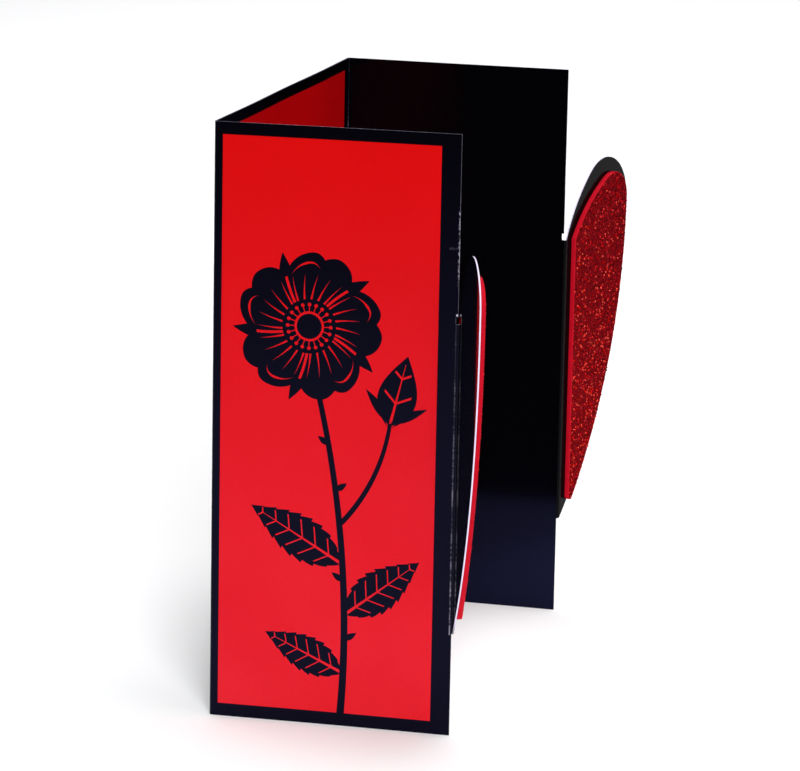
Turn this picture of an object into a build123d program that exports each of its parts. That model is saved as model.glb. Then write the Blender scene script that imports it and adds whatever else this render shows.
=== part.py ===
"""Gatefold greeting card: one folded sheet of board with a glitter foam half-heart on each flap.

The sheet stands on its lower edge. The middle panel lies in the YZ plane, the front flap runs
along +X at the -Y end and the back flap along +X at the +Y end. Each flap ends in a half-heart
tab, part of the same sheet, that is folded outwards along the flap's free edge. When the card is
shut the folds of the tabs meet and the two half-hearts lie back on the flaps as one whole heart.
The origin is at the foot of the middle panel, halfway along it.
"""

import os
from math import cos, radians, sin, sqrt

from build123d import *

# Board
board_thickness = 0.5
crease_radius = 0.5  # on the inside of each fold

# Panels, measured between the fold lines
card_height = 210.0
flap_width = 86.0  # to the flap's free edge

# Half-heart tabs, measured on the flat tab
heart_height = 137.0  # from the point to the top of the lobe, centred on the card's height
heart_half_width = 44.0  # from the crease to the widest point
lobe_radius = 16.0
cleft_drop = 28.5  # from the top of the lobe down to the cleft
shoulder_radius = 66.0  # of the arc between the lobe and the cleft
tip_half_angle = 41.0  # degrees between the crease and the side at the point

# Notch in the flap's free edge, just above the tab's cleft
notch_height = 2.5
notch_depth = 0.8

# Glitter foam, glued to the tab inside margins of bare board
foam_thickness = 2.2
foam_crease_margin = 3.5
foam_side_margin = 2.5
foam_top_margin = 6.0
foam_tip_margin = 3.5  # to where the point would be if it were sharp
foam_corner_radius = 1.5
foam_shoulder_radius = 62.0
foam_tip_half_angle = 36.0

# How far the card stands open, in degrees
front_flap_angle = 89.0  # between the middle panel and the front flap
back_flap_angle = 89.0
front_tab_angle = 69.0  # of the tab away from the plane of its flap
back_tab_angle = 72.0

# Sizes that follow from those above
closing_gap = 2 * (crease_radius + board_thickness)  # room for the tabs' folds when the card is shut
middle_width = 2 * flap_width + closing_gap
fold_radius = crease_radius + board_thickness / 2  # at the middle of the board
tip_height = (card_height - heart_height) / 2
crease_length = heart_height - cleft_drop

RIGHT_ANGLE = 90.0
FRONT = -1  # end of the middle panel, along Y
BACK = 1


def heading(angle: float) -> Vector:
    """Unit vector in plan, at an angle in degrees from +X."""
    return Vector(cos(radians(angle)), sin(radians(angle)))


class Wing:
    """Plan of one flap and its tab: where they start and which way they run."""

    def __init__(self, end: int, opening: float, turn: float):
        self.end = end
        self.turn = turn
        self.flap_angle = -end * (RIGHT_ANGLE - opening)
        self.tab_angle = self.flap_angle + end * turn
        self.corner = Vector(0, end * middle_width / 2)
        self.flap_end = self.corner + heading(self.flap_angle) * flap_width
        # The tab's fold turns about an upright axis on the outer side of the flap
        self.fold_centre = self.flap_end + heading(self.flap_angle + end * RIGHT_ANGLE) * fold_radius
        self.tab_root = self.fold_centre + heading(self.tab_angle - end * RIGHT_ANGLE) * fold_radius

    def edge_plane(self) -> Plane:
        """Cross-section of the sheet at the flap's free edge, with its Y axis upright."""
        along = heading(self.flap_angle)
        return Plane(self.flap_end, x_dir=along.cross(Vector(0, 0, -self.end)), z_dir=along * self.end)

    def fold_axis(self) -> Axis:
        """Upright axis of the tab's fold, directed so that a positive turn folds outwards."""
        return Axis(self.fold_centre, Vector(0, 0, self.end))

    def tab_plane(self) -> Plane:
        """Middle plane of the tab: X away from the crease, Y upright, Z on the glitter side at the back."""
        return Plane(
            self.tab_root,
            x_dir=heading(self.tab_angle),
            z_dir=heading(self.tab_angle - RIGHT_ANGLE),
        )


front = Wing(FRONT, front_flap_angle, front_tab_angle)
back = Wing(BACK, back_flap_angle, back_tab_angle)


class HalfHeart:
    """Outline of half a heart, with its straight edge upright and its point at the lower end.

    The side is one long arc from the point to the round lobe, and the shoulder is another
    from the lobe down into the cleft. Both touch the lobe without a corner.
    """

    def __init__(
        self,
        tip: Vector,
        height: float,
        half_width: float,
        lobe: float,
        drop: float,
        shoulder: float,
        angle: float,
    ):
        self.tip = tip
        self.cleft = tip + Vector(0, height - drop)
        self.lobe_radius = lobe
        self.lobe_centre = tip + Vector(half_width - lobe, height - lobe)
        self.shoulder_radius = shoulder
        self.tip_half_angle = angle

    def side_centre(self) -> Vector:
        """Centre of the side's arc, which leaves the point at its half angle and touches the lobe."""
        inward = heading(2 * RIGHT_ANGLE - self.tip_half_angle)
        reach = self.tip - self.lobe_centre
        span = 2 * (reach.dot(inward) + self.lobe_radius)
        return self.tip + inward * ((self.lobe_radius**2 - reach.dot(reach)) / span)

    def shoulder_centre(self) -> Vector:
        """Centre of the shoulder's arc, which runs through the cleft and touches the lobe."""
        to_lobe = self.lobe_centre - self.cleft
        forward = to_lobe.normalized()
        touching = self.lobe_radius * (2 * self.shoulder_radius - self.lobe_radius)
        along = (to_lobe.dot(to_lobe) + touching) / (2 * to_lobe.length)
        aside = sqrt(self.shoulder_radius**2 - along**2)
        return self.cleft + forward * along + forward.rotate(Axis.Z, -RIGHT_ANGLE) * aside

    def touching_point(self, centre: Vector) -> Vector:
        """Point where the arc about that centre runs into the lobe."""
        return self.lobe_centre + (self.lobe_centre - centre).normalized() * self.lobe_radius

    def sketch(self, plane: Plane, corner_radius: float = 0) -> BuildSketch:
        """The outline as a filled face on a plane, with its point and its cleft rounded if asked."""
        side_radius = (self.tip - self.side_centre()).length
        side_end = self.touching_point(self.side_centre())
        shoulder_start = self.touching_point(self.shoulder_centre())
        with BuildSketch(plane) as outline:
            with BuildLine():
                side = RadiusArc(self.tip, side_end, -side_radius)
                lobe = TangentArc(side_end, shoulder_start, tangent=side % 1)
                TangentArc(shoulder_start, self.cleft, tangent=lobe % 1)
                Line(self.cleft, self.tip)
            make_face()
            if corner_radius:
                fillet(outline.vertices().group_by(Axis.X)[0], radius=corner_radius)
        return outline


tab_heart = HalfHeart(
    Vector(0, tip_height),
    heart_height,
    heart_half_width,
    lobe_radius,
    cleft_drop,
    shoulder_radius,
    tip_half_angle,
)
# The foam's cleft is level with the tab's, and its lobe keeps the top margin all round
foam_heart = HalfHeart(
    Vector(foam_crease_margin, tip_height + foam_tip_margin),
    heart_height - foam_tip_margin - foam_top_margin,
    heart_half_width - foam_crease_margin - foam_side_margin,
    lobe_radius - foam_top_margin,
    cleft_drop - foam_top_margin,
    foam_shoulder_radius,
    foam_tip_half_angle,
)


def glitter_foam(wing: Wing) -> BuildPart:
    """Foam half-heart on the face of the tab that carries on from the inside of the card."""
    glued_plane = wing.tab_plane().offset(wing.end * board_thickness / 2)
    with BuildPart() as foam:
        extrude(foam_heart.sketch(glued_plane, foam_corner_radius).sketch, amount=wing.end * foam_thickness)
    return foam


with BuildPart() as folded_card:
    with BuildSketch():
        with BuildLine():
            FilletPolyline(front.flap_end, front.corner, back.corner, back.flap_end, radius=fold_radius)
        trace(line_width=board_thickness)
    extrude(amount=card_height)
    for wing in (front, back):
        with BuildSketch(wing.edge_plane()):
            with Locations((0, tip_height + crease_length)):
                Rectangle(2 * board_thickness, notch_height, align=(Align.CENTER, Align.MIN))
        extrude(amount=-wing.end * notch_depth, mode=Mode.SUBTRACT)
        with BuildSketch(wing.edge_plane()):
            with Locations((0, tip_height)):
                Rectangle(board_thickness, crease_length, align=(Align.CENTER, Align.MIN))
        revolve(axis=wing.fold_axis(), revolution_arc=wing.turn)
        extrude(tab_heart.sketch(wing.tab_plane()).sketch, amount=board_thickness / 2, both=True)

front_half_heart = glitter_foam(front)
back_half_heart = glitter_foam(back)

folded_card.part.label = "folded_card"
front_half_heart.part.label = "front_half_heart"
back_half_heart.part.label = "back_half_heart"

os.makedirs("parts", exist_ok=True)
export_step(folded_card.part, "parts/folded_card.step")
export_step(front_half_heart.part, "parts/front_half_heart.step")
export_step(back_half_heart.part, "parts/back_half_heart.step")
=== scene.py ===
"""Dressed model of a gatefold greeting card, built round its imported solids.

One die-cut sheet of gloss-laminated board is folded into a standing U. Each flap ends in a half-heart
tab that is folded outwards and carries a half-heart of craft foam with a glitter face. Sizes are in
metres in the frame of the solids: the middle panel stands in the YZ plane with its foot at the origin,
the front flap runs along +X at the -Y end and the back flap along +X at the +Y end.
"""

from __future__ import annotations

import logging
import math
from dataclasses import dataclass, field, replace
from enum import Enum
from typing import Any, Iterable, Sequence, Union

import bpy
from mathutils import Matrix, Vector

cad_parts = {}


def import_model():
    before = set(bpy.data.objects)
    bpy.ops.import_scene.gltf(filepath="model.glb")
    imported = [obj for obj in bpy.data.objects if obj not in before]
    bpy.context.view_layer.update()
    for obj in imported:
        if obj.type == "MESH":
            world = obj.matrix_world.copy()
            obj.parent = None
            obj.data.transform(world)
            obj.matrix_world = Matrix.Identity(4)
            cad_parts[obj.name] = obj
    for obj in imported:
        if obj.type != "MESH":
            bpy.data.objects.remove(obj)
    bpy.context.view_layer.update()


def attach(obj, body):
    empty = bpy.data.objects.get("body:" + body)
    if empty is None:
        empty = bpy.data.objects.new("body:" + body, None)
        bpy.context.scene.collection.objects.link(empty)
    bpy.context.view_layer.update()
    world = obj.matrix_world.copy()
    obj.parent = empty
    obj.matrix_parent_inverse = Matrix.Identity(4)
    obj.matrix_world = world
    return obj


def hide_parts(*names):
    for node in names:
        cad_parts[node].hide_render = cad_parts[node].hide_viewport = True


LOG = logging.getLogger("greeting_card")

MM = 0.001
BODY = "root"
FLAT_MAP = "flat_sheet"  # UV map that holds each point's place on the flat sheet, in metres
TONE = "flake_tone"  # attribute that holds a random number for each flake
SHARP_ANGLE = 40.0  # degrees at an edge past which its two faces are shaded apart

Number = Union[float, "Value"]
Colour = tuple[float, float, float]
Point = tuple[float, float]
Span = tuple[float, float]  # what a share of zero stands for, and what a share of one does
Inputs = dict[str | int, Any]  # values, sockets, numbers or colours by an input's name, identifier or number

BLACK_INK: Colour = (0.0008, 0.0007, 0.0012)


class Side(Enum):
    """End of the middle panel that a flap hangs on, as the sign of Y."""

    FRONT = -1
    BACK = 1


class Towards(Enum):
    """Which face of the sheet a fold closes on."""

    INSIDE = 1
    OUTSIDE = -1


class Face(Enum):
    """Parts of the sheet's surface, as the numbers of their material slots."""

    OUTER = 0
    INNER = 1
    CUT_EDGE = 2
    TAB_OUTER = 3
    TAB_INNER = 4
    TAB_EDGE = 5


class Value:
    """A number in a node tree. Expressions on values add Math nodes to the tree."""

    def __init__(self, tree: Tree, socket: bpy.types.NodeSocket) -> None:
        """Wraps an output socket of a tree."""
        self.tree = tree
        self.socket = socket

    def __add__(self, other: Number) -> Value:
        """Sum of two values."""
        return self.tree.math("ADD", self, other)

    def __radd__(self, other: float) -> Value:
        """Sum of a number and a value."""
        return self.tree.math("ADD", other, self)

    def __sub__(self, other: Number) -> Value:
        """Difference of two values."""
        return self.tree.math("SUBTRACT", self, other)

    def __rsub__(self, other: float) -> Value:
        """Number less a value."""
        return self.tree.math("SUBTRACT", other, self)

    def __mul__(self, other: Number) -> Value:
        """Product of two values."""
        return self.tree.math("MULTIPLY", self, other)

    def __rmul__(self, other: float) -> Value:
        """Product of a number and a value."""
        return self.tree.math("MULTIPLY", other, self)

    def __truediv__(self, other: Number) -> Value:
        """Quotient of two values."""
        return self.tree.math("DIVIDE", self, other)

    def __rtruediv__(self, other: float) -> Value:
        """Number over a value."""
        return self.tree.math("DIVIDE", other, self)

    def __pow__(self, other: Number) -> Value:
        """Power of a value."""
        return self.tree.math("POWER", self, other)

    def __abs__(self) -> Value:
        """Size of a value without its sign."""
        return self.tree.math("ABSOLUTE", self)

    def root(self) -> Value:
        """Square root."""
        return self.tree.math("SQRT", self)

    def sine(self) -> Value:
        """Sine of an angle in radians."""
        return self.tree.math("SINE", self)

    def cosine(self) -> Value:
        """Cosine of an angle in radians."""
        return self.tree.math("COSINE", self)

    def fraction(self) -> Value:
        """Part after the point."""
        return self.tree.math("FRACT", self)

    def least(self, other: Number) -> Value:
        """Smaller of two values."""
        return self.tree.math("MINIMUM", self, other)

    def most(self, other: Number) -> Value:
        """Larger of two values."""
        return self.tree.math("MAXIMUM", self, other)

    def over(self, other: Number) -> Value:
        """One where this value is the larger, and zero elsewhere."""
        return self.tree.math("GREATER_THAN", self, other)

    def wrapped(self, half_range: float) -> Value:
        """Value brought between minus and plus half_range by whole turns."""
        return self.tree.math("WRAP", self, half_range, -half_range)

    def clamped(self) -> Value:
        """Value kept between zero and one."""
        return self.tree.math("ADD", self, 0.0, clamp=True)

    def within(self, span: Span) -> Value:
        """Share from zero to one, brought to a span."""
        return span[0] + (span[1] - span[0]) * self

    def risen(self, level: float, contrast: float) -> Value:
        """Zero up to a level, and from there rising at a rate to one at most."""
        return ((self - level) * contrast).clamped()


class Tree:
    """A node tree that is being wired."""

    def __init__(self, nodes: bpy.types.NodeTree) -> None:
        """Starts on a tree of shader or geometry nodes."""
        self.nodes = nodes

    def node(
        self,
        kind: str,
        settings: dict[str, Any] | None = None,
        inputs: Inputs | None = None,
    ) -> bpy.types.Node:
        """Adds a node.

        Args:
            kind: Blender's name of the node's type.
            settings: Attributes of the node, which are set first. stops is a ramp's list of place and colour.
            inputs: What its inputs take.

        Returns:
            The new node.
        """
        node = self.nodes.nodes.new(kind)
        for name, setting in (settings or {}).items():
            if name == "stops":
                self.set_stops(node.color_ramp, setting)
            else:
                setattr(node, name, setting)
        self.connect(node, inputs or {})
        return node

    def connect(self, node: bpy.types.Node, inputs: Inputs) -> None:
        """Links a node's inputs, or sets their own numbers and colours.

        Args:
            node: The node.
            inputs: What its inputs take.
        """
        for key, given in inputs.items():
            socket = self.socket(node.inputs, key)
            source = given.socket if isinstance(given, Value) else given
            if isinstance(source, bpy.types.NodeSocket):
                self.nodes.links.new(source, socket)
            else:
                socket.default_value = source

    @staticmethod
    def set_stops(ramp: bpy.types.ColorRamp, stops: Sequence[tuple[float, Colour]]) -> None:
        """Gives a colour ramp its stops, of which it has two to begin with.

        Args:
            ramp: The ramp.
            stops: Place and colour of each stop, in order.
        """
        while len(ramp.elements) < len(stops):
            ramp.elements.new(1.0)
        for element, (place, colour) in zip(ramp.elements, stops):
            element.position = place
            element.color = (*colour, 1.0)

    @staticmethod
    def socket(sockets: Any, key: str | int) -> bpy.types.NodeSocket:
        """Finds a socket among those in use.

        Args:
            sockets: A node's inputs or outputs.
            key: Number, name or identifier of the socket.

        Returns:
            The socket.
        """
        if isinstance(key, int):
            return sockets[key]
        return next(s for s in sockets if s.enabled and key in (s.name, s.identifier))

    def value(
        self,
        kind: str,
        output: str,
        settings: dict[str, Any] | None = None,
        inputs: Inputs | None = None,
    ) -> Value:
        """Adds a node and returns one of its outputs as a value.

        Args:
            kind: Blender's name of the node's type.
            output: Name of the output.
            settings: As for node.
            inputs: As for node.

        Returns:
            The output.
        """
        return Value(self, self.socket(self.node(kind, settings, inputs).outputs, output))

    def math(self, operation: str, *operands: Number, clamp: bool = False) -> Value:
        """Adds a Math node.

        Args:
            operation: Blender's name of the operation.
            operands: Values or numbers, in order.
            clamp: True to keep the result between zero and one.

        Returns:
            The result.
        """
        settings = {"operation": operation, "use_clamp": clamp}
        return self.value("ShaderNodeMath", "Value", settings, dict(enumerate(operands)))

    def split(self, vector: bpy.types.NodeSocket) -> list[Value]:
        """The three components of a vector."""
        parts = self.node("ShaderNodeSeparateXYZ", inputs={"Vector": vector})
        return [Value(self, part) for part in parts.outputs]

    def solid_place(self) -> bpy.types.NodeSocket:
        """Place in the frame of the solids, in metres."""
        return self.node("ShaderNodeTexCoord").outputs["Object"]

    def flat_place(self) -> bpy.types.NodeSocket:
        """Place on the flat sheet, in metres."""
        return self.node("ShaderNodeUVMap", {"uv_map": FLAT_MAP}).outputs["UV"]

    def noise(self, vector: bpy.types.NodeSocket, cell: float, detail: float = 2.0) -> Value:
        """Soft random pattern between zero and one.

        Args:
            vector: Place, in metres.
            cell: Rough size of the pattern's patches, in metres.
            detail: How many finer patterns are laid over the first.

        Returns:
            The pattern.
        """
        inputs = {"Vector": vector, "Scale": 1.0 / cell, "Detail": detail}
        return self.value("ShaderNodeTexNoise", "Fac", inputs=inputs)

    def mix(self, share: Number, first: Any, second: Any) -> bpy.types.NodeSocket:
        """Mixes two colours.

        Args:
            share: Share of the second colour, from zero to one.
            first: Colour as three numbers or a socket.
            second: Colour as three numbers or a socket.

        Returns:
            The mixed colour.
        """
        colours = [(*c, 1.0) if isinstance(c, tuple) else c for c in (first, second)]
        inputs = {"Factor_Float": share, "A_Color": colours[0], "B_Color": colours[1]}
        mixer = self.node("ShaderNodeMix", {"data_type": "RGBA"}, inputs)
        return self.socket(mixer.outputs, "Result_Color")

    def bump(self, height: Value, depth: float) -> bpy.types.NodeSocket:
        """A normal that is tilted by a height pattern of that depth in metres."""
        inputs = {"Height": height, "Distance": depth, "Strength": 1.0}
        return self.node("ShaderNodeBump", inputs=inputs).outputs["Normal"]


@dataclass(frozen=True)
class Finish:
    """A surface finish that makes its own material."""

    name: str

    def material(self) -> bpy.types.Material:
        """Makes the finish's material.

        Returns:
            The material.
        """
        made = bpy.data.materials.new(self.name)
        made.use_nodes = True
        tree = Tree(made.node_tree)
        tree.connect(made.node_tree.nodes["Principled BSDF"], self.surface(tree))
        return made

    def surface(self, tree: Tree) -> Inputs:
        """What the inputs of the finish's shader take, with the nodes for it added to a tree."""
        raise NotImplementedError


@dataclass(frozen=True)
class HalfHeart:
    """Outline of half a heart, with its straight edge upright and its point at the lower end.

    The side is one long arc from the point to the round lobe, and the shoulder is another from the
    lobe down into the cleft. Places are pairs of distance from the crease and height.
    """

    tip: Vector
    height: float
    half_width: float
    lobe_radius: float
    cleft_drop: float
    shoulder_radius: float
    tip_half_angle: float  # degrees

    @property
    def cleft(self) -> Vector:
        """Upper end of the straight edge."""
        return self.tip + Vector((0.0, self.height - self.cleft_drop))

    @property
    def lobe_centre(self) -> Vector:
        """Centre of the round lobe."""
        return self.tip + Vector((self.half_width - self.lobe_radius, self.height - self.lobe_radius))

    @property
    def side_centre(self) -> Vector:
        """Centre of the side's arc, which leaves the point at its half angle and touches the lobe."""
        inward = heading(180.0 - self.tip_half_angle)
        reach = self.tip - self.lobe_centre
        span = 2.0 * (reach.dot(inward) + self.lobe_radius)
        return self.tip + inward * ((self.lobe_radius**2 - reach.length_squared) / span)

    @property
    def shoulder_centre(self) -> Vector:
        """Centre of the shoulder's arc, which runs through the cleft and touches the lobe."""
        to_lobe = self.lobe_centre - self.cleft
        forward = to_lobe.normalized()
        touching = self.lobe_radius * (2.0 * self.shoulder_radius - self.lobe_radius)
        along = (to_lobe.length_squared + touching) / (2.0 * to_lobe.length)
        aside = leg(self.shoulder_radius, along)
        return self.cleft + forward * along + Vector((forward.y, -forward.x)) * aside

    def lower_edge(self, reach: float) -> float:
        """Height of the side at a distance from the crease."""
        centre = self.side_centre
        return centre.y - leg((self.tip - centre).length, reach - centre.x)

    def upper_edge(self, reach: float) -> float:
        """Height of the shoulder or of the lobe.

        Args:
            reach: Distance from the crease.

        Returns:
            The height of the upper edge there.
        """
        centre, radius = self.shoulder_centre, self.shoulder_radius
        joint = self.lobe_centre + (self.lobe_centre - centre).normalized() * self.lobe_radius
        if reach > joint.x:
            centre, radius = self.lobe_centre, self.lobe_radius
        return centre.y + leg(radius, reach - centre.x)

    def outline(self, corner_radius: float, steps: int) -> list[Vector]:
        """Closed outline, anticlockwise from the point, with the point and the cleft rounded.

        Args:
            corner_radius: Radius of the rounded corners.
            steps: Number of points on the side's arc.

        Returns:
            The outline's points.
        """
        side, shoulder, lobe = self.side_centre, self.shoulder_centre, self.lobe_centre
        side_radius = (self.tip - side).length
        inset = self.tip.x + corner_radius
        tip_round = Vector((inset, side.y - leg(side_radius - corner_radius, inset - side.x)))
        cleft_rise = leg(self.shoulder_radius - corner_radius, inset - shoulder.x)
        cleft_round = Vector((inset, shoulder.y + cleft_rise))
        side_start, side_end = direction(tip_round - side), direction(lobe - side)
        shoulder_start, shoulder_end = direction(lobe - shoulder), direction(cleft_round - shoulder)
        few = steps // 4
        return (
            arc(tip_round, corner_radius, -math.pi, side_start, few)
            + arc(side, side_radius, side_start, side_end, steps)[1:]
            + arc(lobe, self.lobe_radius, side_end, shoulder_start, steps // 2)[1:]
            + arc(shoulder, self.shoulder_radius, shoulder_start, shoulder_end, few)[1:]
            + arc(cleft_round, corner_radius, shoulder_end, math.pi, few)[1:]
        )


def leg(hypotenuse: float, other_leg: float) -> float:
    """Length of the second short side of a right-angled triangle."""
    return math.sqrt(hypotenuse**2 - other_leg**2)


def heading(angle: float) -> Vector:
    """Unit vector in a plane, at an angle in degrees from its first axis."""
    return Vector((math.cos(math.radians(angle)), math.sin(math.radians(angle))))


def direction(vector: Vector) -> float:
    """Angle of a vector in its plane, in radians."""
    return math.atan2(vector.y, vector.x)


def arc(centre: Vector, radius: float, start: float, end: float, steps: int) -> list[Vector]:
    """Points along an arc, its ends included.

    Args:
        centre: Centre of the arc.
        radius: Radius of the arc.
        start: Angle of its first point, in radians.
        end: Angle of its last point.
        steps: Number of steps between the points.

    Returns:
        The points, in order.
    """
    angles = [start + (end - start) * step / steps for step in range(steps + 1)]
    return [centre + radius * Vector((math.cos(a), math.sin(a))) for a in angles]


def spread(first: float, last: float, steps: int) -> list[float]:
    """Evenly spaced numbers from first to last, both included."""
    return [first + (last - first) * step / steps for step in range(steps + 1)]


def new_object(name: str, mesh: bpy.types.Mesh) -> bpy.types.Object:
    """Puts a mesh into the scene as an object at the origin.

    Args:
        name: Name of the object.
        mesh: Its mesh.

    Returns:
        The object.
    """
    made = bpy.data.objects.new(name, mesh)
    bpy.context.scene.collection.objects.link(made)
    return made


def settle(piece: bpy.types.Object) -> None:
    """Turns a piece with modifiers into a plain mesh.

    Args:
        piece: The piece.
    """
    graph = bpy.context.evaluated_depsgraph_get()
    evaluated = piece.evaluated_get(graph)
    mesh = bpy.data.meshes.new_from_object(evaluated, preserve_all_data_layers=True, depsgraph=graph)
    piece.modifiers.clear()
    piece.data = mesh
    mesh.name = piece.name


def smooth(mesh: bpy.types.Mesh) -> None:
    """Shades a mesh smoothly, apart from its sharp edges."""
    mesh.polygons.foreach_set("use_smooth", [True] * len(mesh.polygons))
    mesh.set_sharp_from_angle(angle=math.radians(SHARP_ANGLE))


@dataclass
class NodeModifier:
    """A tree of geometry nodes with named inputs, and the modifier that runs it."""

    name: str
    tree: Tree = field(init=False)
    start: bpy.types.Node = field(init=False)
    inputs: dict[str, tuple[str, Any]] = field(default_factory=dict)

    def __post_init__(self) -> None:
        """Makes an empty tree with a geometry input and a geometry output."""
        group = bpy.data.node_groups.new(self.name, "GeometryNodeTree")
        group.interface.new_socket("Geometry", in_out="INPUT", socket_type="NodeSocketGeometry")
        group.interface.new_socket("Geometry", in_out="OUTPUT", socket_type="NodeSocketGeometry")
        self.tree = Tree(group)
        self.start = self.tree.node("NodeGroupInput")

    def take(self, name: str, kind: str, setting: Any = None) -> bpy.types.NodeSocket:
        """Adds a named input.

        Args:
            name: Name of the input.
            kind: Blender's name of the socket's type, without its first word.
            setting: What the modifier gives the input.

        Returns:
            The socket inside the tree.
        """
        interface = self.tree.nodes.interface
        made = interface.new_socket(name, in_out="INPUT", socket_type="NodeSocket" + kind)
        self.inputs[name] = (made.identifier, setting)
        return self.tree.socket(self.start.outputs, name)

    def number(self, name: str, setting: float = 0.0) -> Value:
        """Adds a named input that is a number."""
        return Value(self.tree, self.take(name, "Float", setting))

    @property
    def geometry(self) -> bpy.types.NodeSocket:
        """The geometry that comes in."""
        return self.start.outputs["Geometry"]

    def end(self, geometry: bpy.types.NodeSocket) -> None:
        """Links the finished geometry to the tree's output."""
        self.tree.node("NodeGroupOutput", inputs={"Geometry": geometry})

    def run_on(self, piece: bpy.types.Object) -> None:
        """Adds the modifier to a piece and sets its inputs by their identifiers.

        Args:
            piece: The piece.
        """
        modifier = piece.modifiers.new(self.name, "NODES")
        modifier.node_group = self.tree.nodes
        for identifier, setting in self.inputs.values():
            modifier[identifier] = setting


@dataclass(frozen=True)
class Fold:
    """One straight upright fold of the flat sheet."""

    name: str
    side: Side
    towards: Towards
    line: float  # distance from the middle of the sheet to where the bend starts
    turn: float  # radians


@dataclass(frozen=True)
class Wing:
    """One flap with its tab, and how far they stand open, in degrees."""

    side: Side
    opening: float
    tab_turn: float

    @property
    def flap_turn(self) -> float:
        """Turn of the flap's fold, in radians."""
        return math.radians(180.0 - self.opening)

    @property
    def flap_angle(self) -> float:
        """Way the flap runs in plan, in degrees from +X."""
        return -self.side.value * (90.0 - self.opening)

    @property
    def tab_angle(self) -> float:
        """Way the tab runs in plan, in degrees from +X."""
        return self.flap_angle + self.side.value * self.tab_turn


@dataclass
class FaceGrid:
    """Points and faces of a flat sheet, laid out column by column."""

    places: list[Point] = field(default_factory=list)
    faces: list[tuple[int, ...]] = field(default_factory=list)

    def column(self, across: float, heights: Iterable[float]) -> list[int]:
        """Adds one upright row of points.

        Args:
            across: Place of the row along the sheet.
            heights: Heights of its points.

        Returns:
            The points' numbers.
        """
        first = len(self.places)
        self.places.extend((across, height) for height in heights)
        return list(range(first, len(self.places)))

    def join(self, side: Side, inner: list[int], outer: list[int]) -> None:
        """Adds the faces between two columns.

        Args:
            side: Side of the sheet's middle that they are on.
            inner: Column nearer to the middle.
            outer: Column further out.
        """
        left, right = (inner, outer)[:: side.value]
        for low in range(len(left) - 1):
            self.faces.append((left[low], left[low + 1], right[low + 1], right[low]))

    def extend(self, side: Side, last: list[int], stops: list[float], heights: list[float]) -> list[int]:
        """Adds columns beside one that is there, with the faces between them.

        Args:
            side: Side of the sheet's middle that they are on.
            last: Column that is there.
            stops: Distances of the new columns from the middle.
            heights: Heights of their points.

        Returns:
            The outermost column.
        """
        for across in stops:
            following = self.column(side.value * across, heights)
            self.join(side, last, following)
            last = following
        return last


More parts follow.
